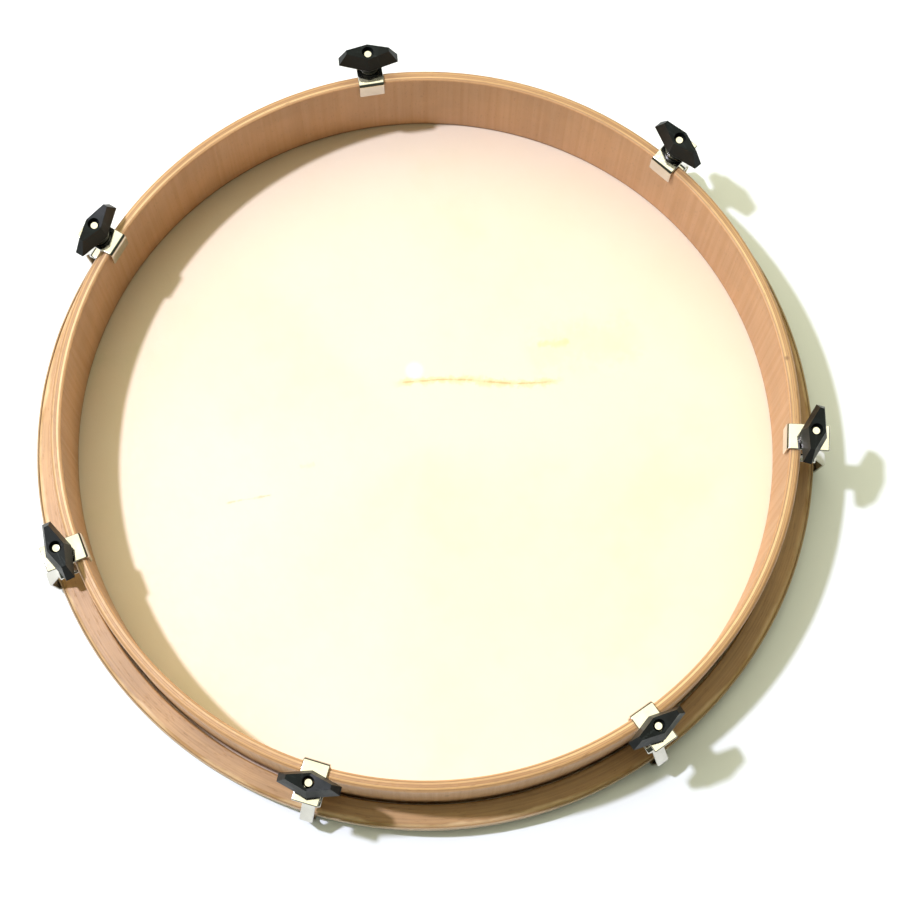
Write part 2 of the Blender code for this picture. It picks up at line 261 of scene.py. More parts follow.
def newMaterial(name, **sockets):
    # A material, its tree, its Principled shader, and the piece's own coordinates.
    made = bpy.data.materials.new(name)
    made.use_nodes = True
    tree = made.node_tree
    shader = tree.nodes["Principled BSDF"]
    for key, value in sockets.items():
        shader.inputs[key.replace("_", " ")].default_value = value
    own = addNode(tree, "ShaderNodeTexCoord").outputs["Object"]
    return made, tree, shader, own


def bump(tree, shader, height, distance, strength=1.0):
    made = addNode(tree, "ShaderNodeBump", {"Height": height, "Distance": distance,
                                            "Strength": strength})
    tree.links.new(made.outputs["Normal"], shader.inputs["Normal"])


float3, number1 = "NodeSocketVector", "NodeSocketFloat"


def ringGrainGroup():
    # Wood bent round the Z axis. Round holds streaks that run along the bend and Pores short
    # dark dashes between them; Upright and Flecks are the same for a grain that runs along Z.
    tree, given, put = newGroup("ringGrain", [
        ("Vector", float3, None), ("Along", number1, 9.0), ("Across", number1, 700.0),
    ], [("Round", number1), ("Upright", number1), ("Pores", number1), ("Flecks", number1),
        ("Radius", number1), ("Height", number1)])
    xyz = addNode(tree, "ShaderNodeSeparateXYZ", {0: given["Vector"]}).outputs
    flat = addNode(tree, "ShaderNodeCombineXYZ", {0: xyz[0], 1: xyz[1]}).outputs[0]
    radius = addNode(tree, "ShaderNodeVectorMath", {0: flat}, operation="LENGTH").outputs["Value"]
    x, y = (calc(tree, "MULTIPLY", xyz[i], given["Along"]) for i in (0, 1))
    z = calc(tree, "MULTIPLY", xyz[2], given["Across"])
    w = calc(tree, "MULTIPLY", radius, given["Across"])
    bend = addNode(tree, "ShaderNodeCombineXYZ", {0: x, 1: y, 2: z}).outputs[0]
    tree.links.new(noise(tree, bend, 1.0, 5.0, 0.6, w), put["Round"])
    wide = addNode(tree, "ShaderNodeCombineXYZ", {
        0: calc(tree, "MULTIPLY", xyz[0], given["Across"]),
        1: calc(tree, "MULTIPLY", xyz[1], given["Across"]),
        2: calc(tree, "MULTIPLY", xyz[2], given["Along"]),
    }).outputs[0]
    tree.links.new(noise(tree, wide, 0.55, 5.0, 0.6), put["Upright"])
    tick = addNode(tree, "ShaderNodeMapping", {"Vector": wide, "Scale": (1.5, 1.5, 32.0)})
    ticks = noise(tree, tick.outputs[0], 1.0, 2.0, 0.5)
    tree.links.new(fade(tree, ticks, 0.60, 0.74), put["Flecks"])
    tree.links.new(xyz[2], put["Height"])
    dash = addNode(tree, "ShaderNodeCombineXYZ", {
        0: calc(tree, "MULTIPLY", x, 22.0), 1: calc(tree, "MULTIPLY", y, 22.0),
        2: calc(tree, "MULTIPLY", z, 2.2)}).outputs[0]
    pores = noise(tree, dash, 1.0, 2.0, 0.5, calc(tree, "MULTIPLY", w, 2.2))
    tree.links.new(fade(tree, pores, 0.60, 0.72), put["Pores"])
    tree.links.new(radius, put["Radius"])
    return tree


def handledGroup():
    # What use leaves on a hard surface: Blotch is a slow cloud, Grit a fine speckle and Edge
    # the ridges that are rubbed first.
    tree, given, put = newGroup("handled", [
        ("Vector", float3, None), ("Cloud Scale", number1, 60.0), ("Grit Scale", number1, 2500.0),
        ("Edge Start", number1, 0.52), ("Edge Full", number1, 0.60),
    ], [("Blotch", number1), ("Grit", number1), ("Edge", number1)])
    tree.links.new(noise(tree, given["Vector"], given["Cloud Scale"], 4.0, 0.6), put["Blotch"])
    tree.links.new(noise(tree, given["Vector"], given["Grit Scale"], 2.0, 0.6), put["Grit"])
    ridge = tree.nodes.new("ShaderNodeNewGeometry").outputs["Pointiness"]
    wearAndHighlight = fade(tree, ridge, given["Edge Start"], given["Edge Full"])
    patchy = fade(tree, noise(tree, given["Vector"], 900.0, 3.0, 0.6), 0.35, 0.65)
    tree.links.new(calc(tree, "MULTIPLY", wearAndHighlight, patchy), put["Edge"])
    return tree


def skinMarkGroup():
    # One drawn-out mark: 1 on a line along X of the given half length and half width, fading to
    # 0 beside it and towards its ends, and broken up along the way. The line wanders by the
    # cosine of the length along it, and by a little noise.
    tree, given, put = newGroup("skinMark", [
        ("Vector", float3, None), ("Half Length", number1, 0.03), ("Half Width", number1, 0.001),
        ("Wander", number1, 0.002), ("Broken", number1, 0.5),
    ], [("Mask", number1)])
    xyz = addNode(tree, "ShaderNodeSeparateXYZ", {0: given["Vector"]}).outputs
    turnsAlong, phase = 83.0, 1.33      # radians a metre, and radians at the mark's middle
    wave = calc(tree, "COSINE", calc(tree, "MULTIPLY_ADD", xyz[0], turnsAlong, phase))
    sway = calc(tree, "SUBTRACT", noise(tree, given["Vector"], 40.0, 1.5, 0.45), 0.5)
    sway = calc(tree, "SUBTRACT", calc(tree, "MULTIPLY", sway, 1.5), wave)
    aside = calc(tree, "ABSOLUTE", calc(tree, "MULTIPLY_ADD", sway, given["Wander"], xyz[1]))
    patch = noise(tree, given["Vector"], 230.0, 4.0, 0.6)
    width = calc(tree, "MULTIPLY", given["Half Width"], fade(tree, patch, 0.3, 0.7, 0.4, 1.8))
    near = fade(tree, calc(tree, "DIVIDE", aside, width), 0.15, 1.0, 1.0, 0.0)
    along = calc(tree, "DIVIDE", calc(tree, "ABSOLUTE", xyz[0]), given["Half Length"])
    ends = fade(tree, along, 0.8, 1.0, 1.0, 0.0)
    gaps = fade(tree, noise(tree, given["Vector"], 120.0, 3.0, 0.6), 0.42, 0.56)
    gaps = calc(tree, "ADD", calc(tree, "MULTIPLY", gaps, given["Broken"]),
                calc(tree, "SUBTRACT", 1.0, given["Broken"]))
    mask = calc(tree, "MULTIPLY", calc(tree, "MULTIPLY", near, ends), gaps)
    tree.links.new(mask, put["Mask"])
    return tree


ringGrain, handled, skinMark = ringGrainGroup(), handledGroup(), skinMarkGroup()
print("shader groups made")


shellLow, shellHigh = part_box("shell")
shell = {
    "wall": 0.0063, "outerRound": 0.0025, "innerRound": 0.0012,
    "bearingOuterRound": 0.0020, "bearingInnerRound": 0.0008, "plies": 5,
    "face": (0.63, 0.36, 0.172, 1), "faceDark": (0.585, 0.325, 0.152, 1),
    "edgeLight": (0.80, 0.55, 0.265, 1), "edgeMid": (0.51, 0.29, 0.122, 1),
    # The dark glue colour also serves as the painted shade at the wall's foot.
    "edgeDark": (0.38, 0.20, 0.08, 1), "glueAndBaseShade": (0.24, 0.12, 0.055, 1),
    "knots": ((0.1912, 0.0439, 0.0575), (0.0239, -0.1992, 0.0402)),
}


def shellMesh():
    # A rounded rectangle of the wall's thickness and the shell's height, turned round Z.
    outer, base, rim = shellHigh.x, shellLow.z, shellHigh.z
    inner = outer - shell["wall"]
    outline = closedOutline([
        (inner, base, shell["bearingInnerRound"]), (outer, base, shell["bearingOuterRound"]),
        (outer, rim, shell["outerRound"]), (inner, rim, shell["innerRound"]),
    ])
    outline = spacedAlong(np.vstack([outline, outline[:1]]), 0.004)[:-1]
    return gridMesh("plyShell", turned(outline))


def plyMaterial():
    # Plies are counted inwards from the outer face by radius, so the rim shows them as rings.
    # Odd plies run along the bend and show pale side grain there, the others show end grain.
    # The faces show upright grain, a few flecks and two knots, and painted shade darkens them where they
    # meet the skin.
    made, tree, shader, own = newMaterial("oiledBeechPly")
    grain = useGroup(tree, ringGrain, {"Vector": own, "Along": 8.0, "Across": 620.0})
    depth = calc(tree, "SUBTRACT", shellHigh.x, grain["Radius"])
    wavy = calc(tree, "MULTIPLY", calc(tree, "SUBTRACT", grain["Round"], 0.5), 0.0004)
    plyAt = calc(tree, "DIVIDE", calc(tree, "ADD", depth, wavy), shell["wall"] / shell["plies"])
    within = calc(tree, "FRACT", plyAt)
    odd = calc(tree, "GREATER_THAN", calc(tree, "MODULO", plyAt, 2.0), 1.0)
    upright = fade(tree, grain["Upright"], 0.25, 0.75)
    round1 = fade(tree, grain["Round"], 0.37, 0.63)
    face = blendColours(tree, upright, shell["faceDark"], shell["face"])
    cloud = fade(tree, noise(tree, own, 28.0, 3.0, 0.55), 0.3, 0.7, 0.92, 1.05)
    face = shaded(tree, face, cloud)
    inwards = fade(tree, depth, shell["wall"] * 0.4, shell["wall"] * 0.6, 0.3, 1.0)
    pale = blendColours(tree, calc(tree, "MULTIPLY", round1, inwards), shell["edgeMid"],
                        shell["edgeLight"])
    end = blendColours(tree, round1, shell["edgeDark"], shell["edgeMid"])
    onFace = calc(tree, "MAXIMUM", fade(tree, depth, 0.0004, 0.0009, 1.0, 0.0),
                  fade(tree, depth, shell["wall"] - 0.0009, shell["wall"] - 0.0004))
    edge = blendColours(tree, onFace, blendColours(tree, odd, end, pale), face)
    seam = fade(tree, calc(tree, "ABSOLUTE", calc(tree, "SUBTRACT", within, 0.5)), 0.37, 0.47)
    atRim = calc(tree, "MULTIPLY", fade(tree, depth, 0.0002, 0.0006),
                 fade(tree, depth, shell["wall"] - 0.0006, shell["wall"] - 0.0002, 1.0, 0.0))
    seam = calc(tree, "MULTIPLY", seam, atRim)
    colour = blendColours(tree, calc(tree, "MULTIPLY", seam, 0.62), edge, shell["glueAndBaseShade"])
    flecks = calc(tree, "MULTIPLY", calc(tree, "MULTIPLY", grain["Flecks"], onFace), 0.22)
    colour = blendColours(tree, flecks, colour, shell["glueAndBaseShade"])
    pores = calc(tree, "MULTIPLY", grain["Pores"], calc(tree, "SUBTRACT", 1.0, onFace))
    colour = blendColours(tree, calc(tree, "MULTIPLY", pores, 0.45), colour, shell["glueAndBaseShade"])
    for place in shell["knots"]:
        colour = blendColours(tree, spot(tree, own, place, 0.0009, 0.0021, 0.9), colour, shell["glueAndBaseShade"])
    # Painted shade: the wall turns towards the dark glue colour near its foot, where it meets the skin.
    paintedBaseShade = fade(tree, grain["Height"], shellLow.z + 0.0004, shellLow.z + 0.0022, 0.75, 0.0)
    colour = blendColours(tree, paintedBaseShade, colour, shell["glueAndBaseShade"])
    tree.links.new(colour, shader.inputs["Base Color"])
    tree.links.new(fade(tree, upright, 0.0, 1.0, 0.50, 0.38), shader.inputs["Roughness"])
    height = calc(tree, "SUBTRACT", calc(tree, "MULTIPLY", upright, 1.4), seam)
    bump(tree, shader, height, 0.00006)
    return made


addPiece("plyShell", shellMesh(), plyMaterial(), ["shell"], "drum_shell")
print("shell made")


hoopLow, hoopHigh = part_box("tension_hoop")
headLow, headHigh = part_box("drumhead")
marginLow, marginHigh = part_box("drumhead_margin")
skinThick = headHigh.z - headLow.z
hoop = {
    "play": 0.0015, "round": 0.0010, "topRound": 0.0022, "sink": 0.0004, "rough": 0.45,
    "light": (0.50, 0.295, 0.118, 1), "dark": (0.355, 0.195, 0.074, 1), "pore": (0.19, 0.095, 0.035, 1),
    # The last colour is a painted highlight for the hoop's outer top edge.
    "wearAndHighlight": (0.74, 0.54, 0.30, 1),
}


def hoopMesh():
    # A rounded rectangle turned round Z, filling the skin wrapped round it. Its top is planed by
    # hand: it sinks towards its outer edge by the share across times two slow waves of bearing.
    inner, outer = shellHigh.x + hoop["play"], marginHigh.x - skinThick - 0.00005
    outline = closedOutline([(inner, hoopLow.z, hoop["round"]), (outer, hoopLow.z, hoop["round"]),
                             (outer, hoopHigh.z, hoop["topRound"]), (inner, hoopHigh.z, hoop["round"])])
    outline = spacedAlong(np.vstack([outline, outline[:1]]), 0.002)[:-1]
    points = turned(outline)
    bearing = np.linspace(0, math.tau, len(points), endpoint=False)[:, None]
    waves = 0.5 + 0.25 * np.sin(9 * bearing + 1.1) + 0.25 * np.sin(16 * bearing + 4.0)
    across = np.clip((outline[:, 0] - inner) / (outer - inner), 0, 1)
    up = np.clip((outline[:, 1] - hoopLow.z) / (hoopHigh.z - hoopLow.z) * 3 - 2, 0, 1)
    points[:, :, 2] -= hoop["sink"] * waves * (across * up)[None]
    return gridMesh("bentHoop", points)


def hoopMaterial():
    # Solid beech steamed round: long streaks along the bend, with short pores between them, and a painted
    # highlight along the outer top edge.
    made, tree, shader, own = newMaterial("steamBentBeech", Roughness=hoop["rough"])
    grain = useGroup(tree, ringGrain, {"Vector": own, "Along": 11.0, "Across": 800.0})
    streak = fade(tree, grain["Round"], 0.28, 0.72)
    colour = blendColours(tree, streak, hoop["dark"], hoop["light"])
    cloud = fade(tree, noise(tree, own, 22.0, 4.0, 0.6), 0.3, 0.7, 0.88, 1.1)
    colour = shaded(tree, colour, cloud)
    colour = blendColours(tree, calc(tree, "MULTIPLY", grain["Pores"], 0.35), colour, hoop["pore"])
    # Painted highlight: a lighter band with a wavy inner boundary along the hoop's outer top edge.
    sway = calc(tree, "MULTIPLY", noise(tree, own, 26.0, 3.0, 0.55), 0.0085)
    wearAndHighlight = fade(tree, calc(tree, "ADD", grain["Radius"], sway), hoopHigh.x + 0.0017,
                  hoopHigh.x + 0.0036, 0.0, 0.8)
    colour = blendColours(tree, wearAndHighlight, colour, hoop["wearAndHighlight"])
    tree.links.new(colour, shader.inputs["Base Color"])
    bump(tree, shader, calc(tree, "SUBTRACT", streak, grain["Pores"]), 0.00006)
    return made


addPiece("bentHoop", hoopMesh(), hoopMaterial(), ["tension_hoop"], "hoop_assembly")
print("hoop made")


skin = {
    "trimLow": 0.0016, "spacing": 0.006,
    "pale": (0.82, 0.71, 0.56, 1), "warm": (0.82, 0.69, 0.52, 1), "green": (0.71, 0.66, 0.46, 1),
    "stain": (0.44, 0.31, 0.10, 1), "halo": (0.72, 0.58, 0.22, 1), "speck": (0.20, 0.15, 0.08, 1),
    "glued": (0.46, 0.33, 0.18, 1),
    "blister": (0.95, 0.93, 0.88, 1), "blisterAt": (-0.0095, 0.0420),
    "marks": (  # middle x, y, bearing in degrees, half length, half width, wander, broken, strength
        (0.0270, 0.0380, 4.0, 0.0500, 0.0027, 0.0012, 0.15, 0.62),
        (0.0270, 0.0380, 4.0, 0.0490, 0.0006, 0.0012, 0.80, 0.55),
        (0.0850, 0.0640, 22.0, 0.0360, 0.0170, 0.0040, 0.30, 0.12),
        (0.0682, 0.0633, 15.0, 0.0100, 0.0024, 0.0006, 0.25, 0.50),
        (-0.0961, -0.0390, 17.5, 0.0135, 0.0007, 0.0008, 0.70, 0.45),
        (-0.0650, -0.0175, 26.5, 0.0045, 0.0016, 0.0006, 0.40, 0.28),
    ),
}


def skinMesh():
    # The section of the skin: flat inside the shell, round its bearing edge, out under the hoop
    # and up the hoop's outer face, then back along the other side, all turned round Z. The
    # trimmed edge is let down by a sum of sines of the bearing, as a knife leaves it.
    wall = shellHigh.x + fitGap                  # skin's inner side beside the shell
    under = marginLow.z + skinThick                  # its upper side under the hoop
    outside = marginHigh.x - skinThick
    curl = shell["bearingOuterRound"] + fitGap
    line = openLine([
        (0.0, headHigh.z, 0.0), (wall, headHigh.z, curl), (wall, under, 0.0012),
        (outside, under, 0.0013), (outside, marginHigh.z, 0.0003),
        (marginHigh.x, marginHigh.z, 0.0003), (marginHigh.x, marginLow.z, 0.0021),
        (wall + skinThick, marginLow.z, 0.0004), (wall + skinThick, headLow.z, curl + skinThick),
        (0.0, headLow.z, 0.0),
    ])
    line = spacedAlong(line, skin["spacing"])
    points = turned(line)
    bearing = np.linspace(0, math.tau, len(points), endpoint=False)[:, None]
    waves = ((3, 0.3, 0.30), (7, 1.9, 0.22), (13, 4.0, 0.18), (29, 2.2, 0.16), (47, 5.1, 0.14))
    dip = sum(size * (0.5 + 0.5 * np.sin(n * bearing + start)) for n, start, size in waves)
    rise = np.clip((line[:, 1] - hoopLow.z) / (marginHigh.z - hoopLow.z), 0, 1)
    outer = line[:, 0] > outside - 0.0001
    points[:, :, 2] -= skin["trimLow"] * dip * (rise ** 2 * outer)[None]
    return gridMesh("wrappedSkin", points, closedColumns=False)


def skinMaterial():
    # Cream hide: slow clouds from pale to warm to greenish, a few marks, a pale blister and hair
    # specks. The margin beyond the shell has drawn in glue and is darker.
    made, tree, shader, own = newMaterial("naturalSkin")
    cloud = fade(tree, noise(tree, own, 7.0, 5.0, 0.62), 0.36, 0.66)
    colour = blendColours(tree, cloud, skin["pale"], skin["warm"])
    other = fade(tree, noise(tree, own, 11.0, 4.0, 0.6), 0.50, 0.72)
    colour = blendColours(tree, calc(tree, "MULTIPLY", other, 0.6), colour, skin["green"])
    for x, y, bearing, halfLength, halfWidth, wander, broken, strength in skin["marks"]:
        here = addNode(tree, "ShaderNodeMapping", {
            "Vector": own, "Location": (x, y, 0), "Rotation": (0, 0, math.radians(bearing)),
        }, vector_type="TEXTURE").outputs[0]
        mask = useGroup(tree, skinMark, {
            "Vector": here, "Half Length": halfLength, "Half Width": halfWidth,
            "Wander": wander, "Broken": broken})["Mask"]
        tint = skin["halo"] if halfWidth > 0.001 else skin["stain"]  # wide marks are pale
        colour = blendColours(tree, calc(tree, "MULTIPLY", mask, strength), colour, tint)
    blister = spot(tree, own, (*skin["blisterAt"], headHigh.z), 0.0014, 0.0066, 0.85)
    colour = blendColours(tree, blister, colour, skin["blister"])
    cells = addNode(tree, "ShaderNodeTexVoronoi", {"Vector": own, "Scale": 38.0})
    pick = addNode(tree, "ShaderNodeSeparateColor", {0: cells.outputs["Color"]}).outputs[0]
    speck = calc(tree, "MULTIPLY", fade(tree, cells.outputs["Distance"], 0.012, 0.03, 1.0, 0.0),
                 calc(tree, "GREATER_THAN", pick, 0.93))
    colour = blendColours(tree, calc(tree, "MULTIPLY", speck, 0.7), colour, skin["speck"])
    out = addNode(tree, "ShaderNodeVectorMath", {0: own}, operation="LENGTH").outputs["Value"]
    glued = fade(tree, out, shellHigh.x + 0.004, shellHigh.x + 0.010, 0.0, 0.85)
    colour = blendColours(tree, glued, colour, skin["glued"])
    tree.links.new(colour, shader.inputs["Base Color"])
    fibre = noise(tree, own, 420.0, 5.0, 0.65)
    tree.links.new(fade(tree, fibre, 0.3, 0.7, 0.48, 0.64), shader.inputs["Roughness"])
    bump(tree, shader, calc(tree, "ADD", fibre, calc(tree, "MULTIPLY", cloud, 2.0)), 0.00008)
    return made


skinPiece = addPiece("wrappedSkin", skinMesh(), skinMaterial(),
                     ["drumhead", "drumhead_margin"])
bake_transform(skinPiece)
print("skin made")


def sheetStrip(name, line, halfWidths, sheet, edgeRound, number, spacing=0.00025):
    # A sheet bent along a line: its section is a rounded rectangle of the sheet's thickness and
    # of twice halfWidths (pairs of length along the line and half width). It is carried square
    # to the line, and drawn in by edgeRound (1 - cos a) over edgeRound (1 - sin a) at both ends.
    line = spacedAlong(line, spacing)
    step = np.linalg.norm(np.diff(line, axis=0), axis=1)
    length = np.concatenate([[0], np.cumsum(step)])
    turn = np.linspace(0, math.pi / 2, 6)
    inner = np.arange(edgeRound, length[-1] - edgeRound, spacing)[1:]
    opening, closing = edgeRound * (1 - np.cos(turn)), edgeRound * (1 - np.sin(turn))
    along = np.concatenate([opening, inner, length[-1] - closing])
    drawn = np.concatenate([closing, 0 * inner, opening])
    place = np.stack([np.interp(along, length, line[:, k]) for k in (0, 1)], -1)
    ahead = np.stack([np.interp(along + spacing, length, line[:, k]) for k in (0, 1)], -1)
    behind = np.stack([np.interp(along - spacing, length, line[:, k]) for k in (0, 1)], -1)
    forward = unit(ahead - behind)
    side = np.stack([-forward[:, 1], forward[:, 0]], -1)
    arc = np.linspace(0, math.pi / 2, 6)
    angle = np.concatenate([arc, arc + math.pi / 2, arc + math.pi, arc + 1.5 * math.pi])
    signY = np.repeat([1, -1, -1, 1], 6)
    signT = np.repeat([1, 1, -1, -1], 6)
    half = np.interp(along, *np.array(halfWidths, float).T)
    radius = (edgeRound - drawn)[:, None]
    across = signY * ((half - drawn)[:, None] - radius) + radius * np.cos(angle)
    lift = signT * ((sheet / 2 - drawn)[:, None] - radius) + radius * np.sin(angle)
    x = place[:, :1] + side[:, :1] * lift
    z = place[:, 1:] + side[:, 1:] * lift
    points = np.stack([x, across, z], -1)
    return gridMesh(name, placedAtUnit(points, number), closedRows=False, capped=True)


def steelMaterial():
    # Nickel plate over pressed steel: bright, with faint clouds, fine pits and rubbed edges.
    made, tree, shader, own = newMaterial("nickelPlate", Metallic=1.0)
    use = useGroup(tree, handled, {"Vector": own, "Cloud Scale": 90.0, "Grit Scale": 1800.0,
                                   "Edge Start": 0.52, "Edge Full": 0.62})
    cloud = fade(tree, use["Blotch"], 0.3, 0.7)
    colour = blendColours(tree, cloud, (0.56, 0.54, 0.50, 1), (0.66, 0.64, 0.60, 1))
    colour = blendColours(tree, use["Edge"], colour, (0.80, 0.78, 0.74, 1))
    tree.links.new(colour, shader.inputs["Base Color"])
    tree.links.new(fade(tree, use["Grit"], 0.3, 0.75, 0.05, 0.16), shader.inputs["Roughness"])
    bump(tree, shader, use["Blotch"], 0.00004)
    return made


steel = steelMaterial()
clip = {"sheet": 0.0015, "width": 0.0142, "bend": 0.0016, "edge": 0.0006, "hole": 0.0029}
claw = {"sheet": 0.0018, "wide": 0.0125, "narrow": 0.0073, "bend": 0.0030, "edge": 0.00085,
        "pastBolt": 0.0055, "elbowRise": 0.0050, "hookReach": 0.0060, "hole": 0.0029}


def clipMesh(number):
    # The lip goes up inside the shell, bends over the open edge and runs out past the bolt.
    low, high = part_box("shell_clip_1")
    _, out = unitAxis(1)
    middle = clip["sheet"] / 2
    lip, end, plate = low.x + middle - out, high.x - out, high.z - middle
    line = openLine([(lip, low.z, 0), (lip, plate, clip["bend"]), (end, plate, 0)])
    half = clip["width"] / 2
    mesh = sheetStrip("shellClip", line, [(0, half), (1, half)], clip["sheet"], clip["edge"], number)
    return drilled(mesh, clip["hole"], number, plate - 0.003, plate + 0.003)


def clawMesh(number):
    # A flange round the bolt, a strap out to its elbow and down past the hoop, and a hook back
    # in under the skin's margin.
    low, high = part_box("hoop_claw_1")
    _, out = unitAxis(1)
    middle = claw["sheet"] / 2
    start, flange = low.x - out, high.z - middle
    elbow = high.x - out - middle
    elbowHeight = hoopHigh.z + claw["elbowRise"]
    foot = marginHigh.x - out + claw["bend"] - middle
    footHeight = low.z + middle
    line = openLine([
        (start, flange, 0), (claw["pastBolt"], flange, claw["bend"]),
        (elbow, elbowHeight, claw["bend"]), (foot, footHeight, claw["bend"]),
        (hoopHigh.x - out - claw["hookReach"], footHeight, 0)])
    wide, narrow = claw["wide"] / 2, claw["narrow"] / 2
    shoulder = claw["pastBolt"] - start + 0.0012
    widths = [(0, wide), (shoulder, wide), (shoulder + 0.0009, narrow), (1, narrow)]
    mesh = sheetStrip("hoopClaw", line, widths, claw["sheet"], claw["edge"], number)
    return drilled(mesh, claw["hole"], number, flange - 0.003, flange + 0.003)


for number in range(1, unitCount + 1):
    addPiece(f"shellClip{number}", clipMesh(number), steel,
             [f"shell_clip_{number}"], "drum_shell")
    addPiece(f"hoopClaw{number}", clawMesh(number), steel,
             [f"hoop_claw_{number}"], "hoop_assembly")
print("clips and claws made")


bolt = {"radius": 0.0025, "flats": 0.0078, "headHeight": 0.0035, "chamfer": 0.0007, "pitch": 0.0008,
        "depth": 0.00042, "columns": 72, "plain": 0.0030}
washer = {"bore": 0.0029, "round": 0.0002}


def boltMesh(number):
    # Rows up the bolt: a chamfered hex head, whose radius is apothem / cos(angle to the nearest
    # flat), then a shank with a thread, radius less depth times a clipped triangle wave of
    # height / pitch - bearing / turn, then a chamfer and a dished end.
    low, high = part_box(f"tension_bolt_{number}")
    base, tip = low.z, high.z
    headTop = base + bolt["headHeight"]
    apothem = bolt["flats"] / 2
    angle = np.linspace(0, math.tau, bolt["columns"], endpoint=False)[None]
    third = math.pi / 3
    hexagon = apothem / np.cos((angle + third / 2) % third - third / 2)
    around = np.ones_like(angle)
    headRows = [(0 * around, base), (apothem * 0.86 * around, base),
                (np.minimum(hexagon, apothem * 0.99), base + 0.0001),
                (np.minimum(hexagon, apothem * 1.08), base + 0.0004),
                (hexagon, base + 0.0008), (hexagon, headTop - 0.0001),
                (hexagon - 0.0001, headTop), (bolt["radius"] * around, headTop)]
    height = np.arange(headTop + 0.0002, tip, bolt["pitch"] / 10)[:, None]
    phase = (height / bolt["pitch"] - angle / math.tau) % 1
    wave = np.clip(np.abs(2 * phase - 1) * 1.3 - 0.15, 0, 1)
    grown = np.clip((height - headTop - bolt["plain"]) / bolt["pitch"], 0, 1)
    shank = bolt["radius"] - bolt["depth"] * wave * grown
    shank = np.minimum(shank, bolt["radius"] - 0.9 * (height - (tip - bolt["chamfer"])))
    endRows = [(around * 0.0017, tip - 0.00002), (around * 0.0012, tip - 0.00006),
               (around * 0.0006, tip - 0.00011), (around * 0.0, tip - 0.00013)]
    radius = np.vstack([r for r, _ in headRows] + [shank] + [r for r, _ in endRows])
    level = np.concatenate([[z for _, z in headRows], height[:, 0], [z for _, z in endRows]])
    points = np.stack([radius * np.cos(angle), radius * np.sin(angle),
                       level[:, None] + 0 * angle], -1)
    return gridMesh("tensionBolt", placedAtUnit(points, number), closedRows=False, sharp=40)


def washerMesh(number):
    # A flat ring with rounded edges, turned on the bolt's axis.
    low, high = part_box("knob_washer_1")
    outer = (high.x - low.x) / 2
    outline = closedOutline([(washer["bore"], low.z, washer["round"]), (outer, low.z, washer["round"]),
                             (outer, high.z, washer["round"]), (washer["bore"], high.z, washer["round"])],
                            steps=3, support=0.00005)
    return gridMesh("knobWasher", placedAtUnit(turned(outline, 72), number))


def brassMaterial():
    # Dull turned brass.
    made, tree, shader, own = newMaterial("turnedBrass", Metallic=1.0)
    use = useGroup(tree, handled, {"Vector": own, "Cloud Scale": 300.0, "Grit Scale": 4000.0})
    colour = blendColours(tree, use["Blotch"], (0.52, 0.36, 0.14, 1), (0.72, 0.55, 0.27, 1))
    tree.links.new(colour, shader.inputs["Base Color"])
    tree.links.new(fade(tree, use["Grit"], 0.3, 0.7, 0.24, 0.42), shader.inputs["Roughness"])
    return made


brass = brassMaterial()
for number in range(1, unitCount + 1):
    addPiece(f"tensionBolt{number}", boltMesh(number), steel,
             [f"tension_bolt_{number}"], "hoop_assembly")
    addPiece(f"knobWasher{number}", washerMesh(number), steel,
             [f"knob_washer_{number}"], "drum_shell")
    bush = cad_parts[f"knob_bush_{number}"]
    bush.data.materials.clear()
    bush.data.materials.append(brass)
print("bolts and washers made")


knobLow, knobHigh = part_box("wing_knob_1")
knob = {
    "length": 0.0328, "width": 0.0143, "endWidth": 0.0046, "shoulder": 0.0040,
    "topLength": 0.0233, "topWidth": 0.0094, "topEndWidth": 0.0024, "tipRise": 0.0015,
    "underLength": 0.0314, "underWidth": 0.0132, "underEndWidth": 0.0036,
    "neckRadius": 0.0064, "neckHeight": 0.0024, "recess": 0.0032, "recessDepth": 0.0036,
    "boltBore": 0.0028, "bushBore": 0.0044, "bushTop": 0.0086, "bevel": 0.0003,
    "sides": (6, 14, 14, 6, 14, 14),
}


def wingRow(length, width, endWidth, middleHeight, endHeight):
    # Points spaced evenly along the six sides of the wings' outline: two blunt ends and four
    # long sides that meet at the middle, each side running straight from corner to corner.
    half, side, tip = length / 2, width / 2, endWidth / 2
    corners = np.array([(tip, half, endHeight), (-tip, half, endHeight), (-side, 0, middleHeight),
                        (-tip, -half, endHeight), (tip, -half, endHeight), (side, 0, middleHeight)])
    return np.concatenate([np.linspace(a, b, n, endpoint=False)
                           for a, b, n in zip(corners, np.roll(corners, -1, 0), knob["sides"])])


def knobTurn(number):
    # How far the knob stands turned from its unit's own axes: the direction in which its points
    # spread furthest, less a quarter turn and the unit's bearing.
    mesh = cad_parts[f"wing_knob_{number}"].data
    points = np.empty(len(mesh.vertices) * 3, np.float32)
    mesh.vertices.foreach_get("co", points)
    points = points.reshape(-1, 3)[:, :2].astype(float)
    spread = points - points.mean(0)
    values, vectors = np.linalg.eigh(spread.T @ spread)
    longest = math.atan2(vectors[1, -1], vectors[0, -1])
    bearing, _ = unitAxis(number)
    return (longest - math.pi / 2 - bearing + math.pi / 2) % math.pi - math.pi / 2


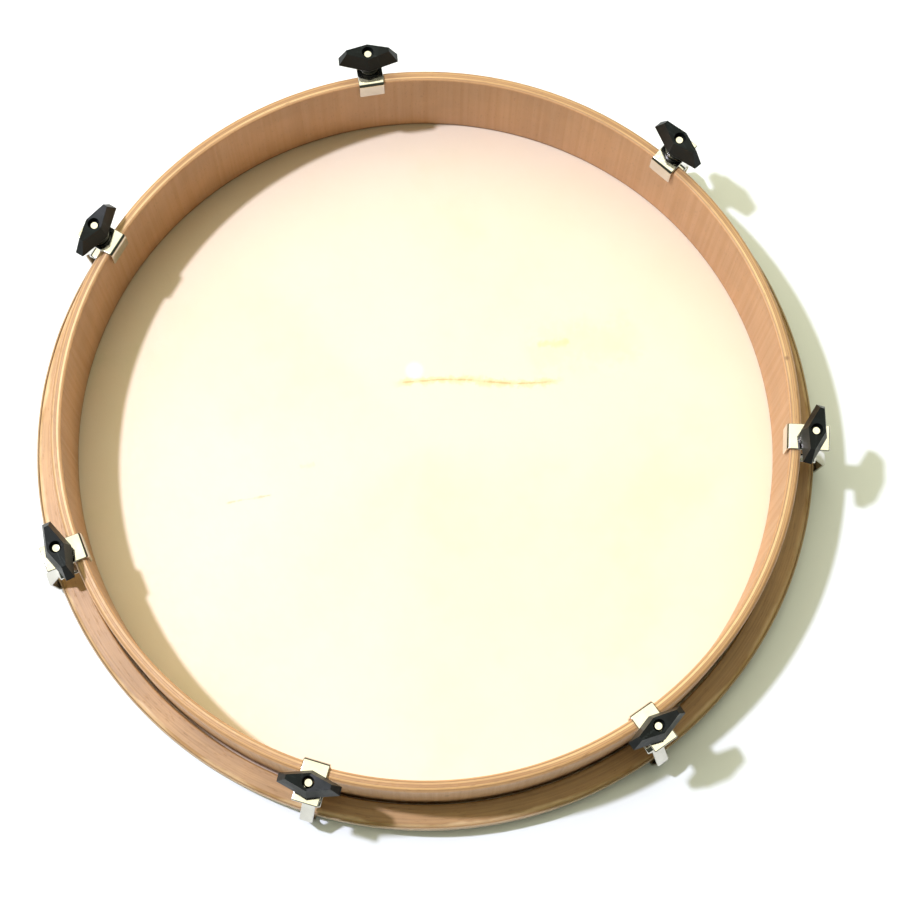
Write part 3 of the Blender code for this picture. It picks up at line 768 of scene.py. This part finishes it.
def knobMesh(number):
    # Closed rows from the bore's foot, out round the neck, up the wings to the V-shaped top, and
    # down the recess and the bore. The top rises from its middle to the wings' tips.
    tip = knobHigh.z - knobLow.z
    high, shoulder, foot = tip - knob["tipRise"], knob["shoulder"], knob["neckHeight"]
    widest = wingRow(knob["length"], knob["width"], knob["endWidth"], shoulder, shoulder)
    under = wingRow(knob["underLength"], knob["underWidth"], knob["underEndWidth"], foot, foot)
    top = wingRow(knob["topLength"], knob["topWidth"], knob["topEndWidth"], high, tip)
    way = unit(widest[:, :2])
    slope = knob["tipRise"] * 2 / knob["topLength"]

    def circle(radius, height, rise=0.0):
        flat = way * radius
        return np.column_stack([flat, height + rise * np.abs(flat[:, 1])])

    floor = high - knob["recessDepth"]
    rows = [circle(knob["bushBore"], 0), circle(knob["neckRadius"], 0),
            circle(knob["neckRadius"], foot), under, widest, top,
            circle(knob["recess"], high, slope), circle(knob["recess"], floor),
            circle(knob["boltBore"], floor), circle(knob["boltBore"], knob["bushTop"]),
            circle(knob["bushBore"], knob["bushTop"])]
    points = np.stack(rows) + np.array([0, 0, knobLow.z])
    return gridMesh("wingKnob", placedAtUnit(points, number, knobTurn(number)), sharp=20)


def plasticMaterial():
    # Black moulding: a fine spark-eroded grain, slightly greyer where it has been handled.
    made, tree, shader, own = newMaterial("blackMoulding", Specular_IOR_Level=0.10)
    use = useGroup(tree, handled, {"Vector": own, "Cloud Scale": 110.0, "Grit Scale": 3200.0,
                                   "Edge Start": 0.54, "Edge Full": 0.66})
    colour = blendColours(tree, fade(tree, use["Blotch"], 0.3, 0.7), (0.0035, 0.005, 0.005, 1),
                          (0.008, 0.0115, 0.0115, 1))
    colour = blendColours(tree, calc(tree, "MULTIPLY", use["Edge"], 0.5), colour,
                          (0.035, 0.043, 0.043, 1))
    tree.links.new(colour, shader.inputs["Base Color"])
    tree.links.new(fade(tree, use["Blotch"], 0.25, 0.75, 0.30, 0.46), shader.inputs["Roughness"])
    bump(tree, shader, use["Grit"], 0.00002)
    return made


plastic = plasticMaterial()
for number in range(1, unitCount + 1):
    piece = addPiece(f"wingKnob{number}", knobMesh(number), plastic,
                     [f"wing_knob_{number}"], f"knob_{number}")
    soften = piece.modifiers.new("soften", "BEVEL")
    soften.width, soften.segments = knob["bevel"], 3
    soften.limit_method, soften.angle_limit = "ANGLE", math.radians(12)
    soften.harden_normals = False
print("knobs made")


studio = {
    "floorSize": 8.0, "floorHeight": -0.0002, "floorRough": 0.85,
    "floor": (0.83, 0.88, 0.89, 1), "floorLight": (0.85, 0.895, 0.91, 1),
    "keyAt": (-0.97, 0.123, 1.95), "keyAim": (0, 0, 0.03), "keySize": 0.108, "keyWatts": 38.0,
    "keyColour": (1.0, 0.985, 1.20),
    "skyLow": (0.07, 0.08, 0.062, 1), "skyHigh": (2.22, 2.16, 1.54, 1), "backdrop": (0.80, 0.82, 0.79, 1),
    "skyAim": (-0.22, 0.40, 0.888), "skyWide": 46, "skyNarrow": 29,    # degrees from the aim
}


def addFloor():
    mesh = bpy.data.meshes.new("floor")
    h, z = studio["floorSize"] / 2, studio["floorHeight"]
    mesh.from_pydata([(-h, -h, z), (h, -h, z), (h, h, z), (-h, h, z)], [], [(0, 1, 2, 3)])
    made, tree, shader, own = newMaterial("paleFloor", Roughness=studio["floorRough"])
    tone = fade(tree, noise(tree, own, 3.0, 3.0, 0.5), 0.3, 0.7)
    colour = blendColours(tree, tone, studio["floor"], studio["floorLight"])
    tree.links.new(colour, shader.inputs["Base Color"])
    mesh.materials.append(made)
    floor = bpy.data.objects.new("floor", mesh)
    bpy.context.scene.collection.objects.link(floor)


def addKeyLight():
    lamp = bpy.data.lights.new("keyLight", "AREA")
    lamp.shape, lamp.size = "DISK", studio["keySize"]
    lamp.energy, lamp.color = studio["keyWatts"], studio["keyColour"]
    made = bpy.data.objects.new("keyLight", lamp)
    bpy.context.scene.collection.objects.link(made)
    made.location = studio["keyAt"]
    way = Vector(studio["keyAim"]) - Vector(studio["keyAt"])
    made.rotation_euler = way.to_track_quat("-Z", "Y").to_euler()


def addSky():
    # Dim light from all round, and a wide bright patch overhead: the brightness follows the
    # cosine of the angle from the patch's middle. Seen straight, it is a pale backdrop.
    world = bpy.data.worlds.new("studio")
    bpy.context.scene.world = world
    world.use_nodes = True
    tree = world.node_tree
    way = addNode(tree, "ShaderNodeTexCoord").outputs["Generated"]
    cosine = addNode(tree, "ShaderNodeVectorMath", {0: way, 1: Vector(studio["skyAim"]).normalized()},
                     operation="DOT_PRODUCT").outputs["Value"]
    edges = (math.cos(math.radians(studio[name])) for name in ("skyWide", "skyNarrow"))
    patch = fade(tree, cosine, *edges)
    seen = addNode(tree, "ShaderNodeLightPath").outputs["Is Camera Ray"]
    colour = blendColours(tree, patch, studio["skyLow"], studio["skyHigh"])
    colour = blendColours(tree, seen, colour, studio["backdrop"])
    tree.links.new(colour, tree.nodes["Background"].inputs["Color"])


view = {
    "place": (0.01988, -0.30744, 1.09230), "lens": 81.12,
    "right": (0.99793, 0.06321, 0.01181), "up": (-0.06406, 0.96120, 0.26829),
}


def addCamera():
    # The camera's axes are its right, its up and their cross product, which points back.
    right, up = Vector(view["right"]), Vector(view["up"])
    back = right.cross(up)
    up = back.cross(right)
    turn = Matrix((right, up, back)).transposed().to_4x4()
    lens = bpy.data.cameras.new("camera")
    lens.lens, lens.sensor_width = view["lens"], 36.0
    made = bpy.data.objects.new("camera", lens)
    bpy.context.scene.collection.objects.link(made)
    made.matrix_world = Matrix.Translation(view["place"]) @ turn
    bpy.context.scene.camera = made


addFloor()
addKeyLight()
addSky()
addCamera()
bpy.context.scene.view_settings.view_transform = "Standard"
print("stage made")
